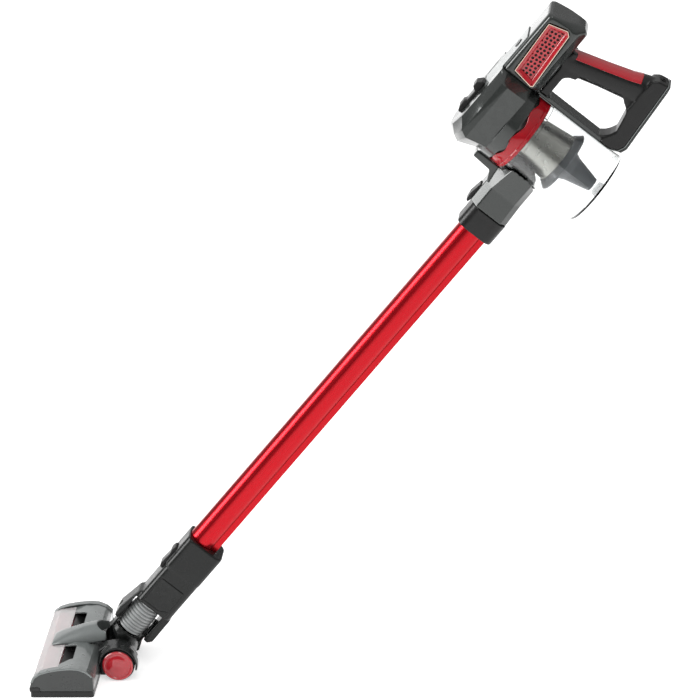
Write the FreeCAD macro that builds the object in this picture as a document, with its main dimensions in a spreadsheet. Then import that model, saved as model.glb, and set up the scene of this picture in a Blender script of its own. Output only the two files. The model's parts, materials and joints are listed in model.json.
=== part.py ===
import FreeCAD, Part
import math
import os

import Sketcher
from FreeCAD import Placement, Rotation, Vector

# Upright stick vacuum cleaner: a handheld unit with a cyclone cup and a loop handle, a wand, a
# swivelling neck and a floor head. Millimetres, +Z up, +Y forwards, +X to the right of its user.
# The origin is on the floor, under the sole plate, 24 behind the middle of the floor head.
#
# The handheld, the wand and the neck are drawn in the wand's own frame: y runs along the wand
# towards the floor head from the wand tube's top end, and z stands square to it, away from the cup.

DRIVING = (
    ("recline", 49.5),              # wand above the floor, degrees
    ("wand_length", 575.0),         # bare tube between its two collars
    ("tube_radius", 18.0),
    ("tube_wall", 1.2),
    ("tube_rise", 2.5),             # tube's centre above the wand's line
    ("channel_bottom", 20.5),       # wiring channel's foot below the wand's line
    ("neck_depth", 32.5),           # neck's underside below the wand's line
    ("neck_half_width", 25.0),
    ("swivel_reach", 145.0),        # tube's lower end to the neck's swivel pins
    ("pitch_reach", 195.6),         # tube's lower end to the wheel axis
    ("pitch_drop", 12.0),           # wheel axis below the wand's line
    ("hose_radius", 18.5),
    ("wheel_radius", 22.0),
    ("sole_back", 24.0),            # origin behind the floor head's middle
    ("wheel_back", 68.65),          # wheel axis behind the floor head's middle
    ("head_half_width", 109.0),
    ("head_half_depth", 42.0),
    ("cap_thickness", 9.0),
    ("base_height", 8.0),
    ("brush_forward", 20.0),
    ("brush_height", 16.0),
    ("brush_radius", 15.6),
    ("motor_back", 22.0),
    ("motor_height", 22.0),
    ("brush_pulley_radius", 8.0),
    ("motor_pulley_radius", 5.0),
    ("cyclone_back", 141.0),        # cyclone's axis behind the tube's top end
    ("cup_radius", 51.5),
    ("cup_bottom", 84.0),
    ("cup_top", 30.0),
    ("cup_wall", 2.2),
    ("ring_radius", 54.5),
    ("ring_top", 50.0),
    ("band_top", 66.0),
    ("mesh_radius", 29.0),
    ("skirt_radius", 42.5),
    ("housing_top", 113.5),
    ("box_start", 200.3),
    ("box_end", 305.0),
    ("box_half_width", 33.0),
    ("box_bottom", 55.0),
    ("box_top", 112.5),
    ("grip_half_width", 15.0),
    ("handle_half_width", 16.0),
    ("socket_radius", 2.75),
    ("socket_depth", 9.0),
)

doc = FreeCAD.newDocument("vacuum_cleaner")
sheet = doc.addObject("Spreadsheet::Sheet", "Dims")
for row, (alias, number) in enumerate(DRIVING, start=1):
    sheet.set(f"A{row}", alias)
    sheet.set(f"B{row}", str(number))
    sheet.setAlias(f"B{row}", alias)
doc.recompute()


class Size:
    """A length worked out from the sheet: its number, and the same sum as an expression."""

    def __init__(self, number, text):
        self.number = float(number)
        self.text = text

    def __add__(self, other):
        other = size(other)
        return Size(self.number + other.number, f"({self.text} + {other.text})")

    def __sub__(self, other):
        other = size(other)
        return Size(self.number - other.number, f"({self.text} - {other.text})")

    def __mul__(self, factor):
        return Size(self.number * factor, f"({self.text} * {factor!r})")

    def __radd__(self, other):
        return size(other) + self

    def __rsub__(self, other):
        return size(other) - self

    def __neg__(self):
        return Size(-self.number, f"(0 - {self.text})")


def size(value):
    """A Size from a Size or a plain number."""
    if isinstance(value, Size):
        return value
    return Size(value, f"({float(value)!r})")


class Dims:
    """The sheet's cells by alias."""

    def __getattr__(self, alias):
        return Size(sheet.get(alias), f"Dims.{alias}")


D = Dims()
PIECES = []


def bind(item, name, value):
    """Give a property its number and, where it comes from the sheet, its expression."""
    value = size(value)
    if "Dims." in value.text:
        item.setExpression(name, value.text)
    elif not name.startswith("."):
        setattr(item, name, value.number)


def rect(left, right, low, high):
    return [(left, low), (right, low), (right, high), (left, high)]


def rounded_rect(half, low, high, radius, steps=3):
    """A rectangle about the middle line, each corner a short run of points on an arc."""
    corners = []
    for side, level, quarter in ((1, low, -1), (1, high, 0), (-1, high, 1), (-1, low, 2)):
        upward = 1 if level is low else -1
        for step in range(steps + 1):
            angle = math.radians(90 * (quarter + step / steps))
            across = (size(half) - radius) * side + radius * math.cos(angle)
            up = size(level) + radius * upward + radius * math.sin(angle)
            corners.append((across, up))
    return corners


def oval(half, rise, centre, steps=24):
    """An oval outline about the middle line, as a ring of points."""
    outline = []
    for step in range(steps):
        angle = math.radians(360 * (step + 0.5) / steps)
        outline.append((half * math.cos(angle), centre + rise * math.sin(angle)))
    return outline


def ring_sector(inner, outer, start, end, steps):
    """Part of a flat ring, from one angle to another."""
    angles = [math.radians(start + (end - start) * step / steps) for step in range(steps + 1)]
    outside = [(outer * math.cos(angle), outer * math.sin(angle)) for angle in angles]
    inside = [(inner * math.cos(angle), inner * math.sin(angle)) for angle in reversed(angles)]
    return outside + inside


def circle(across, up, radius):
    return ("circle", across, up, radius)


class Piece:
    """One sub-part: a body that is padded, turned, cut and rounded, feature by feature."""

    def __init__(self, label, place):
        self.body = doc.addObject("PartDesign::Body", label)
        self.body.Label = label
        self.place = place
        self.planes = {item.Role: item for item in self.body.Origin.OriginFeatures}
        self.last = None
        PIECES.append(self)

    def sketch(self, plane, offset, loops):
        """A sketch on XY, XZ or YZ, moved along the plane's normal, fixed point by point."""
        drawing = self.body.newObject("Sketcher::SketchObject", "Outline")
        drawing.AttachmentSupport = [(self.planes[f"{plane}_Plane"], "")]
        drawing.MapMode = "FlatFace"
        offset = size(offset)
        drawing.AttachmentOffset = Placement(Vector(0, 0, offset.number), Rotation())
        if "Dims." in offset.text:
            drawing.setExpression(".AttachmentOffset.Base.z", offset.text)
        for loop in loops:
            if loop[0] == "circle":
                self.add_circle(drawing, *loop[1:])
            else:
                self.add_polygon(drawing, loop)
        return drawing

    def fix(self, drawing, kind, geometry, point, value):
        """Hold one coordinate of a point, measured from the sketch's origin."""
        value = size(value)
        if abs(value.number) < 1e-9:
            axis = -2 if kind == "DistanceX" else -1
            drawing.addConstraint(Sketcher.Constraint("PointOnObject", geometry, point, axis))
            return
        rule = Sketcher.Constraint(kind, -1, 1, geometry, point, value.number)
        index = drawing.addConstraint(rule)
        if "Dims." in value.text:
            drawing.setExpression(f"Constraints[{index}]", value.text)

    def add_circle(self, drawing, across, up, radius):
        across, up, radius = size(across), size(up), size(radius)
        centre = Vector(across.number, up.number, 0)
        item = drawing.addGeometry(Part.Circle(centre, Vector(0, 0, 1), radius.number), False)
        self.fix(drawing, "DistanceX", item, 3, across)
        self.fix(drawing, "DistanceY", item, 3, up)
        index = drawing.addConstraint(Sketcher.Constraint("Radius", item, radius.number))
        if "Dims." in radius.text:
            drawing.setExpression(f"Constraints[{index}]", radius.text)

    def add_polygon(self, drawing, points):
        points = [(size(across), size(up)) for across, up in points]
        corners = [Vector(across.number, up.number, 0) for across, up in points]
        first = drawing.GeometryCount
        count = len(points)
        for index in range(count):
            line = Part.LineSegment(corners[index], corners[(index + 1) % count])
            drawing.addGeometry(line, False)
        for index in range(count):
            following = first + (index + 1) % count
            drawing.addConstraint(Sketcher.Constraint("Coincident", first + index, 2, following, 1))
        for index, (across, up) in enumerate(points):
            self.fix(drawing, "DistanceX", first + index, 1, across)
            self.fix(drawing, "DistanceY", first + index, 1, up)

    def feature(self, kind, name):
        self.last = self.body.newObject(f"PartDesign::{kind}", name)
        return self.last

    def pad(self, plane, start, end, *loops):
        """Add the outline's solid from start to end along the plane's axis."""
        drawing = self.sketch(plane, -size(end) if plane == "XZ" else start, loops)
        item = self.feature("Pad", "Pad")
        item.Profile = drawing
        bind(item, "Length", size(end) - size(start))

    def cut(self, plane, start, end, *loops):
        """Remove the outline's solid from start to end along the plane's axis."""
        doc.recompute()
        before = self.last.Shape.Volume
        drawing = self.sketch(plane, -size(end) if plane == "XZ" else start, loops)
        item = self.feature("Pocket", "Cut")
        item.Profile = drawing
        item.Reversed = True
        bind(item, "Length", size(end) - size(start))
        doc.recompute()
        if item.Shape.Volume > before - 1e-3:
            raise RuntimeError(f"{self.body.Label}: a cut removed nothing")

    def turn(self, plane, axis, *loops):
        """Turn the outline a full circle about the sketch's H or V axis."""
        drawing = self.sketch(plane, 0, loops)
        item = self.feature("Revolution", "Turned")
        item.Profile = drawing
        item.ReferenceAxis = (drawing, [f"{axis}_Axis"])
        item.Angle = 360

    def loft(self, plane, sections):
        """Join outlines, each at its own place along the plane's axis, by straight faces."""
        sign = -1 if plane == "XZ" else 1
        drawings = [self.sketch(plane, size(place) * sign, [loop]) for place, loop in sections]
        item = self.feature("AdditiveLoft", "Loft")
        item.Profile = drawings[0]
        item.Sections = drawings[1:]
        item.Ruled = True

    def round_edges(self, radius, wanted):
        """Round the edges that wanted(edge) picks."""
        doc.recompute()
        base = self.last
        names = [f"Edge{index}" for index, edge in enumerate(base.Shape.Edges, 1) if wanted(edge)]
        if not names:
            raise RuntimeError(f"{self.body.Label}: no edge to round")
        item = self.feature("Fillet", "Round")
        item.Base = (base, names)
        item.Radius = radius

    def repeat(self, count, axis):
        """Repeat the last feature in a ring about a body axis."""
        base = self.last
        item = self.feature("PolarPattern", "Ring")
        item.Originals = [base]
        item.Axis = (self.planes[f"{axis}_Axis"], [""])
        item.Angle = 360
        item.Occurrences = count
        self.body.Tip = item


def runs_along(axis):
    """Picks the straight edges that run along one axis."""
    direction = {"x": Vector(1, 0, 0), "y": Vector(0, 1, 0), "z": Vector(0, 0, 1)}[axis]

    def wanted(edge):
        if not isinstance(edge.Curve, Part.Line):
            return False
        return abs(edge.Curve.Direction.dot(direction)) > 0.999
    return wanted


def back(distance):
    """A place behind the wand tube's top end, as a y in the wand's frame."""
    return -size(distance)


def side_view(points):
    """Points given as distance behind the tube's top end and height, as y and z."""
    return [(back(distance), height) for distance, height in points]


# ---------------------------------------------------------------- frames

# The floor head, brush and motor are drawn from the head's middle.
middle = D.sole_back.number
lean = math.radians(D.recline.number)
pitch_along = (D.wand_length + D.pitch_reach).number
tube_top = Vector(
    0,
    middle - D.wheel_back.number - pitch_along * math.cos(lean) + D.pitch_drop.number * math.sin(lean),
    D.wheel_radius.number + pitch_along * math.sin(lean) + D.pitch_drop.number * math.cos(lean),
)


def shifted(frame, y, z):
    """A frame moved in its own directions."""
    return frame.multiply(Placement(Vector(0, y, z), Rotation()))


HEAD = Placement(Vector(0, middle, 0), Rotation())
WHEEL = shifted(HEAD, -D.wheel_back.number, D.wheel_radius.number)
BRUSH = shifted(HEAD, D.brush_forward.number, D.brush_height.number)
MOTOR = shifted(HEAD, -D.motor_back.number, D.motor_height.number)
WAND = Placement(tube_top, Rotation(Vector(1, 0, 0), -D.recline.number))
CYCLONE = shifted(WAND, -D.cyclone_back.number, 0)
HOSE = shifted(WAND, 0, 0.5)


# ---------------------------------------------------------------- wand

TUBE_INTO_COLLAR = 20.0
TUBE_INTO_NECK = 25.0
CHANNEL_HALF = 9.0


def wand_tube():
    """Round tube with a wiring channel along its underside, one extrusion."""
    piece = Piece("wand_tube", WAND)
    top = -TUBE_INTO_COLLAR
    bottom = D.wand_length + TUBE_INTO_NECK
    piece.pad("XZ", top, bottom, circle(0, D.tube_rise, D.tube_radius))
    piece.pad("XZ", top, bottom, rect(-CHANNEL_HALF, CHANNEL_HALF, -D.channel_bottom, -10))
    piece.cut("XZ", top, bottom, circle(0, D.tube_rise, D.tube_radius - D.tube_wall))
    piece.cut("XZ", top, bottom, rect(-7.5, 7.5, -D.channel_bottom + 1.4, -D.channel_bottom + 4.2))


def wand_power_lead():
    """Flat lead that feeds the floor head, inside the wiring channel."""
    piece = Piece("wand_power_lead", WAND)
    low = -D.channel_bottom + 1.9
    piece.pad("XZ", -15, D.wand_length + 20, rect(-5, 5, low, low + 1.8))


def wand_upper_collar():
    """Socket at the wand's top end, which the handheld's spigot enters."""
    piece = Piece("wand_upper_collar", WAND)
    piece.pad("XZ", -29, 3, rect(-24, 24, -27, 26))
    piece.round_edges(13, runs_along("y"))
    piece.cut("XZ", -29, 3, circle(0, D.tube_rise, D.tube_radius))
    piece.cut("XZ", -29, 3, rect(-CHANNEL_HALF, CHANNEL_HALF, -D.channel_bottom, -10))


def wand_lower_plug():
    """Sleeve in the wand's lower end that carries the neck's contacts."""
    piece = Piece("wand_lower_plug", WAND)
    start = D.wand_length + 2
    end = D.wand_length + TUBE_INTO_NECK
    inner = D.tube_radius - D.tube_wall
    piece.pad("XZ", start, end, circle(0, D.tube_rise, inner), circle(0, D.tube_rise, inner - 1.6))


# ---------------------------------------------------------------- neck

def neck_fork():
    """Socket for the wand, a hollow shell and two arms that hold the swivel pins."""
    piece = Piece("neck_fork", WAND)
    start = D.wand_length + 2
    step = D.wand_length + 53
    end = D.wand_length + 117
    half = D.neck_half_width
    low = -D.neck_depth
    piece.pad("XZ", start, step, rounded_rect(half, low, 22.5, 9))
    piece.pad("XZ", step, end, rounded_rect(half - 0.6, low + 0.6, 21, 9))
    pin = D.wand_length + D.swivel_reach
    upper = [(end - 12, 19), (end, 22.7), (pin + 14, 22.7), (pin + 13, 28.5), (pin, 30.5), (end - 8, 24.5)]
    lower = [(end - 12, -30), (end, -22.7), (pin + 17, -22.7), (pin + 18, -29), (pin + 12, -34), (end, -33.5)]
    piece.pad("YZ", -16, 16, upper)
    piece.pad("YZ", -16, 16, lower)
    piece.cut("XZ", start, start + 25, circle(0, D.tube_rise, D.tube_radius + 0.1))
    channel = rect(-CHANNEL_HALF - 0.2, CHANNEL_HALF + 0.2, -D.channel_bottom - 0.2, -10)
    piece.cut("XZ", start, start + 25, channel)
    piece.cut("XZ", start + 25, start + 36, circle(0, D.tube_rise, 15))
    piece.cut("XZ", start + 35, end - 4, rect(-21, 21, low + 3, 17.5))
    piece.cut("XZ", end - 5, end, circle(0, 0.5, 16.9))
    piece.cut("XY", 14, 30, rect(-9.3, 9.3, start + 28, start + 64))
    piece.cut("XY", 20, 35, circle(0, pin, 4))
    piece.cut("XY", -36, -20, circle(0, pin, 4))
    panel = side_panel(0.15)
    piece.cut("YZ", -half, -half + 2, panel)
    piece.cut("YZ", half - 2, half, panel)


def side_panel(grown):
    """Outline of the neck's side cover, grown by a clearance."""
    end = D.wand_length + 111 + grown
    return [
        (D.wand_length + 71 - grown, -22 - grown),
        (D.wand_length + 104, -22 - grown),
        (end, -11),
        (end, 13.5 + grown),
        (D.wand_length + 71 - grown, 13.5 + grown),
    ]


def neck_side_covers():
    """A thin cover let into each side of the neck."""
    piece = Piece("neck_side_covers", WAND)
    half = D.neck_half_width
    piece.pad("YZ", -half, -half + 2, side_panel(0))
    piece.pad("YZ", half - 2, half, side_panel(0))


def neck_latch_button():
    """Button on the neck that lets the wand go."""
    piece = Piece("neck_latch_button", WAND)
    near = D.wand_length + 30.4
    far = D.wand_length + 65.6
    piece.pad("YZ", -9, 9, [
        (near, 18.5),
        (far, 18.5),
        (far, 24),
        (far - 4, 26),
        (near + 14, 24.8),
        (near + 6, 26.5),
        (near, 25),
    ])


def swivel_pins():
    """Two short steel pins, above and below the hose."""
    piece = Piece("swivel_pins", WAND)
    pin = D.wand_length + D.swivel_reach
    piece.pad("XY", 19.7, 28, circle(0, pin, 4))
    piece.pad("XY", -32, -19.7, circle(0, pin, 4))


def flexible_hose():
    """Ribbed hose that carries the air across the swivel."""
    piece = Piece("flexible_hose", HOSE)
    start = D.wand_length + 117.2
    rib_count = 11
    pitch = 4.5
    outline = [(15.2, start), (D.hose_radius - 1.4, start)]
    for rib in range(rib_count):
        near = start + (rib * pitch + 0.9)
        outline.append((D.hose_radius - 1.4, near))
        outline.append((D.hose_radius, near + 0.7))
        outline.append((D.hose_radius, near + 2.1))
        outline.append((D.hose_radius - 1.4, near + 2.8))
    end = start + rib_count * pitch
    outline.append((D.hose_radius - 1.4, end))
    outline.append((15.2, end))
    piece.turn("XY", "V", outline)


def elbow():
    """Knuckle between the swivel pins and the wheel axis, with the air passage through it."""
    piece = Piece("elbow", WAND)
    pin = D.wand_length + D.swivel_reach
    axis = D.wand_length + D.pitch_reach
    drop = -D.pitch_drop
    near = pin + 22
    piece.loft("XZ", [
        (near, oval(20.5, 20.5, 0.5)),
        (near + 8, oval(20.5, 20.5, 0.5)),
        (axis, oval(20, 17, drop)),
    ])
    piece.pad("YZ", -24.5, 24.5, circle(axis, drop, 18))
    for low in (19.6, -22.4):
        piece.pad("XY", low, low + 2.8, circle(0, pin, 11))
        piece.pad("XY", low, low + 2.8, rect(-11, 11, pin, near + 5))
    piece.cut("XY", 15, 26, circle(0, pin, 4.06))
    piece.cut("XY", -26, -15, circle(0, pin, 4.06))
    piece.cut("XZ", near, near + 22, circle(0, 0.5, 15.5))
    room = [(axis - 10, drop), (axis - 6, drop + 30), (axis + 30, drop + 30), (axis + 30, drop)]
    piece.cut("YZ", -12, 12, room)
    piece.cut("YZ", -24.5, 24.5, circle(axis, drop, 3.06))


# ---------------------------------------------------------------- floor head

MOUTH_LEFT = -89.0
MOUTH_RIGHT = 94.0
INNER_HALF = 99.8
SCREW_SPOTS = ((-80, -32), (80, -32), (-36, -32), (36, -32))


def head_base():
    """Black chassis: sole plate with the suction mouth, and the wall behind the brush."""
    piece = Piece("head_base", HEAD)
    half = D.head_half_width
    depth = D.head_half_depth
    top = D.base_height
    piece.pad("XY", 0, top, rect(-half, half, -depth, depth))
    piece.round_edges(4, runs_along("z"))
    piece.pad("YZ", MOUTH_LEFT - 1.5, 98, [
        (-9, top - 1),
        (-6, top - 1),
        (-6, 27),
        (5.5, 32),
        (4, 34.2),
        (-9, 29),
    ])
    piece.pad("YZ", MOUTH_LEFT - 1.5, MOUTH_LEFT, [
        (-6, top - 1),
        (36, top - 1),
        (36, 24),
        (30, 29),
        (5.5, 32),
        (-6, 27),
    ])
    piece.cut("XY", -1, top, rect(MOUTH_LEFT, MOUTH_RIGHT, -6, 38))
    piece.cut("YZ", MOUTH_LEFT - 1.5, MOUTH_LEFT, circle(D.brush_forward, D.brush_height, 5))
    piece.cut("XZ", -9, -6, circle(0, 18, 9.5))
    piece.cut("XY", 3, top, rect(-99, MOUTH_LEFT - 1.5, 6, 34))
    for across, forward in SCREW_SPOTS:
        piece.cut("XY", 0, 3, circle(across, forward, 3.2))
        piece.cut("XY", 3, top, circle(across, forward, 1.5))


def head_screws():
    """Four screws in the sole plate."""
    piece = Piece("head_screws", HEAD)
    for across, forward in SCREW_SPOTS:
        piece.pad("XY", 1.2, 3, circle(across, forward, 3))
        piece.pad("XY", 3, D.base_height, circle(across, forward, 1.5))


def head_top_cover():
    """Silver-grey cover behind the window, with a notch on each side of the spine."""
    piece = Piece("head_top_cover", HEAD)
    low = D.base_height + 0.1
    rear = -D.head_half_depth
    piece.pad("YZ", -INNER_HALF, INNER_HALF, [
        (5.5, 36.5),
        (-8, 40.5),
        (-24, 40.4),
        (-34, 36.2),
        (rear, 29),
        (rear, low),
        (rear + 2.5, low),
        (rear + 2.5, 28),
        (-33, 33.6),
        (-23.4, 37.8),
        (-8, 38),
        (5.5, 34.4),
    ])
    piece.cut("XY", 34, 45, rect(-22.2, 22.2, -30, 7))
    for side in (-1, 1):
        piece.cut("XY", 34, 45, [(side * 23.5, 7), (side * 84, 7), (side * 74, -12), (side * 31, -12)])
    piece.cut("XZ", rear, rear + 2.5, circle(0, 20, 11))


def spine_section(half, low, high):
    """Arched section of the spine, from its left foot to its right foot."""
    return [
        (-half, low),
        (half, low),
        (half * 0.9, low + (high - low) * 0.45),
        (half * 0.55, high),
        (-half * 0.55, high),
        (-half * 0.9, low + (high - low) * 0.45),
    ]


def spine_cover():
    """Raised bridge from the window back to the elbow, notched so that the neck can stand up."""
    piece = Piece("spine_cover", HEAD)
    piece.loft("XZ", [
        (19, spine_section(18, 36.8, 38.5)),
        (6, spine_section(21, 36.8, 46)),
        (-17, spine_section(22, 38.2, 56)),
        (-56, spine_section(22, 45, 61)),
    ])
    piece.pad("YZ", -22, 22, [(5.3, 38), (5.3, 35), (-9, 35), (-29.5, 38.5), (-29.5, 43)])
    piece.cut("XY", 30, 70, rect(-17, 17, -60, -36.5))
    piece.cut("XY", 30, 70, rect(-23, 23, -60, -50))


def brush_window():
    """Clear curved cover over the brush."""
    piece = Piece("brush_window", HEAD)
    piece.pad("YZ", -INNER_HALF, INNER_HALF, [
        (42, 14.2),
        (41, 22.5),
        (36.5, 29.8),
        (27, 34),
        (5.8, 36.5),
        (5.8, 34.4),
        (26.5, 32),
        (35, 28.2),
        (39, 21.8),
        (40, 14.2),
    ])


def end_cap(label, side):
    """Charcoal cap that closes one end of the floor head."""
    piece = Piece(label, HEAD)
    inner = D.head_half_width - D.cap_thickness + 0.1
    outer = D.head_half_width
    low = D.base_height + 0.1
    front = D.head_half_depth
    start, end = (inner, outer) if side > 0 else (-outer, -inner)
    piece.pad("YZ", start, end, [
        (28.8, low),
        (28.8, 14.2),
        (front - 0.5, 14.2),
        (41, 21.5),
        (37, 28.8),
        (29, 34.5),
        (18, 38),
        (4, 40.5),
        (-12, 42),
        (-24, 41),
        (-34, 36.8),
        (-39, 32.4),
        (-front, 29.2),
        (-front, low),
    ])


def front_bumper():
    """Rubber strip along the front edge, with a block at each end."""
    piece = Piece("front_bumper", HEAD)
    low = D.base_height + 0.1
    half = D.head_half_width
    piece.pad("YZ", -half, half, rect(38.7, 43, low, 14))
    for start, end in ((-half, -half + 8.8), (half - 8.8, half)):
        piece.pad("YZ", start, end, rect(29, 39, low, 14))


def rear_housing():
    """Two ears that hold the wheel axis, joined by a wall, with an arch over each wheel."""
    piece = Piece("rear_housing", HEAD)
    front = -D.head_half_depth - 0.1
    axis = -D.wheel_back
    height = D.wheel_radius
    piece.pad("YZ", -44, 44, [
        (front, 2),
        (front, 38),
        (axis + 17, height + 23),
        (axis, height + 25.5),
        (axis - 14, height + 21),
        (axis - 23.5, height + 3),
        (axis - 17, 6),
        (axis + 5, 2),
    ])
    arch = [(axis + along, height + up) for along, up in ring_sector(23.4, 26, 6, 196, 24)]
    piece.pad("YZ", -58.5, -43.5, arch)
    piece.pad("YZ", 43.5, 58.5, arch)
    piece.cut("XY", 0, 60, rect(-25, 25, axis - 30, front - 3.8))
    piece.cut("XZ", front - 3.9, front, circle(0, 20, 11))
    piece.cut("YZ", -44, 44, circle(axis, height, 3))


def pivot_axles():
    """Two steel axles: each carries one wheel and one side of the elbow."""
    piece = Piece("pivot_axles", WHEEL)
    piece.pad("YZ", -57.2, -14, circle(0, 0, 3))
    piece.pad("YZ", 14, 57.2, circle(0, 0, 3))


def wheel(side_name, side):
    """A black tyre on a red hub that turns on its axle."""
    tyre = Piece(f"wheel_tyre_{side_name}", WHEEL)
    rim = D.wheel_radius - 3.8
    outer = D.wheel_radius
    profile = [(46, rim), (46, outer - 1.6), (47.6, outer), (55.4, outer), (57, outer - 1.6), (57, rim)]
    tyre.turn("XY", "H", [(across * side, radius) for across, radius in profile])
    hub = Piece(f"wheel_hub_{side_name}", WHEEL)
    profile = [
        (45, 3.06),
        (45, rim),
        (57.6, rim),
        (59.4, rim - 3),
        (60.4, 7),
        (60.6, 0),
        (57.4, 0),
        (57.4, 3.06),
    ]
    hub.turn("XY", "H", [(across * side, radius) for across, radius in profile])


def brush_roller():
    """Brush core with its journals and its toothed pulley."""
    piece = Piece("brush_roller", BRUSH)
    pulley = D.brush_pulley_radius
    piece.turn("XY", "H", [
        (-98, 0),
        (-98, pulley),
        (-92, pulley),
        (-92, 4),
        (-87.5, 4),
        (-87.5, 11),
        (93, 11),
        (93, 4),
        (98.5, 4),
        (98.5, 0),
    ])


def brush_bristles():
    """Soft sleeve on the core, with four rows of bristles."""
    piece = Piece("brush_bristles", BRUSH)
    piece.turn("XY", "H", [(-86, 11), (-86, 14), (92, 14), (92, 11)])
    piece.pad("YZ", -86, 92, rect(-1.5, 1.5, 13.5, D.brush_radius))
    piece.repeat(4, "X")


def brush_bearing():
    """Bearing block that holds the brush's free end."""
    piece = Piece("brush_bearing", BRUSH)
    piece.pad("YZ", 94.5, 99.5, rect(-7, 7, -7.8, 7), circle(0, 0, 4.06))


def brush_motor():
    """Motor that turns the brush."""
    piece = Piece("brush_motor", MOTOR)
    piece.pad("YZ", -84, -28, circle(0, 0, 11))
    piece.pad("YZ", -28, -25, circle(0, 0, 5))
    piece.cut("YZ", -84, -70, circle(0, 0, 2.06))


def motor_pulley():
    """Small pulley on the brush motor's shaft."""
    piece = Piece("motor_pulley", MOTOR)
    piece.pad("YZ", -98, -92, circle(0, 0, D.motor_pulley_radius))
    piece.pad("YZ", -92, -71, circle(0, 0, 2))


def drive_belt():
    """Belt round the motor pulley and the brush pulley, on the brush's frame."""
    piece = Piece("drive_belt", BRUSH)
    away = D.brush_forward + D.motor_back
    rise = D.motor_height - D.brush_height
    for grown, action in ((1.6, piece.pad), (0.3, piece.cut)):
        large = D.brush_pulley_radius + grown
        small = D.motor_pulley_radius + grown
        action("YZ", -97, -93, circle(0, 0, large))
        action("YZ", -97, -93, circle(-away, rise, small))
        action("YZ", -97, -93, belt_sides(away.number, rise.number, large.number, small.number))


def belt_sides(away, rise, large, small):
    """The four tangent points of two circles: one at the origin, one behind it and higher."""
    span = math.hypot(away, rise)
    along = (-away / span, rise / span)
    across = (-along[1], along[0])
    lean_in = (large - small) / span
    level = math.sqrt(1 - lean_in ** 2)
    corners = []
    for radius, centre, side in (
        (large, (0, 0), 1), (large, (0, 0), -1), (small, (-away, rise), -1), (small, (-away, rise), 1),
    ):
        corners.append((
            centre[0] + radius * (along[0] * lean_in + side * across[0] * level),
            centre[1] + radius * (along[1] * lean_in + side * across[1] * level),
        ))
    return corners


# ---------------------------------------------------------------- cyclone and motor

def cyclone_housing():
    """Band above the cup: its spigot carries the lock ring, its floor carries both filters."""
    piece = Piece("cyclone_housing", CYCLONE)
    outer = D.ring_radius
    piece.turn("XZ", "V", [
        (26, 46),
        (46.8, 46),
        (46.8, 32.2),
        (outer - 4.5, 32.2),
        (outer - 4.5, D.ring_top + 0.3),
        (outer, D.ring_top + 0.3),
        (outer, D.band_top),
        (outer - 3, D.band_top),
        (outer - 3, 53),
        (46.8, 49),
        (26, 49),
    ])


def lock_ring():
    """Translucent red ring that twists to lock the cup; its grips make a wavy edge."""
    piece = Piece("red_lock_ring", CYCLONE)
    inner = D.ring_radius - 4.2
    piece.turn("XZ", "V", [
        (inner, D.cup_top + 0.3),
        (D.ring_radius, D.cup_top + 0.3),
        (D.ring_radius, D.ring_top),
        (inner, D.ring_top),
    ])
    piece.cut("XZ", 0, D.ring_radius + 2, rect(-6, 6, D.ring_top - 3.5, D.ring_top + 1))
    piece.repeat(8, "Z")


def dust_cup():
    """Clear cup with a closed bottom, the inlet port, and a rim that stops short of the inlet."""
    piece = Piece("dust_cup", CYCLONE)
    bottom = -D.cup_bottom
    mouth = D.cup_radius - 1.5
    inner = D.cup_radius - D.cup_wall
    piece.turn("XZ", "V", [
        (0, bottom),
        (D.cup_radius, bottom),
        (mouth, D.cup_top),
        (inner - 1.2, D.cup_top),
        (inner, bottom + 2.5),
        (0, bottom + 2.5),
    ])
    rim = D.ring_radius - 0.5
    piece.pad("XY", D.cup_top - 4, D.cup_top, ring_sector(D.cup_radius - 2.2, rim, 140, 400, 26))
    piece.cut("XZ", 30, D.cup_radius + 5, circle(0, D.tube_rise, 14))


def cup_seal():
    """Rubber ring between the housing's spigot and the cup's mouth."""
    piece = Piece("cup_seal", CYCLONE)
    outer = D.ring_radius - 4.7
    piece.turn("XZ", "V", [(46.9, 30.3), (outer, 30.3), (outer, 32.1), (46.9, 32.1)])


def mesh_filter():
    """Stainless mesh shroud with its mounting flange."""
    piece = Piece("mesh_filter", CYCLONE)
    top = D.mesh_radius
    piece.turn("XZ", "V", [
        (top - 1.2, 45.8),
        (46.4, 45.8),
        (46.4, 43.4),
        (top, 43.4),
        (top, 24),
        (top + 5, -22),
        (top + 3.8, -22),
        (top - 1.2, 24),
    ])


def cyclone_cone():
    """Grey skirt under the mesh and the cone below it, one moulding."""
    piece = Piece("cyclone_cone", CYCLONE)
    skirt = D.skirt_radius
    piece.turn("XZ", "V", [
        (33, -22.2),
        (36, -22.2),
        (skirt, -30.5),
        (skirt - 1.5, -32.5),
        (35, -28),
        (24, -31),
        (17, -45),
        (9, -79),
        (0, -79),
        (0, -76.5),
        (7, -76.5),
        (15, -45),
        (22.5, -28.5),
        (33, -25.5),
    ])


def hepa_filter():
    """Pleated filter ring between the cyclone and the fan."""
    piece = Piece("hepa_filter", CYCLONE)
    piece.turn("XZ", "V", [(27, 49), (45.5, 49), (45.5, 64), (27, 64)])


def impeller():
    """Fan wheel: a disc with curved-in blades round a hub."""
    piece = Piece("impeller", CYCLONE)
    piece.turn("XZ", "V", [(2.56, 68), (8, 68), (8, 75), (33, 75), (33, 77), (2.56, 77)])
    piece.pad("XY", 69, 75.5, [(7, 0), (7, 1.6), (30, 9), (32, 8.2), (32, 6.4)])
    piece.repeat(9, "Z")


def motor_body():
    """Suction motor with its shaft."""
    piece = Piece("motor_body", CYCLONE)
    piece.turn("XZ", "V", [(0, 67), (2.5, 67), (2.5, 79), (10, 79), (30, 81), (30, 103), (25, 108), (0, 108)])


PANEL_FLOOR = 111.0


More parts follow.
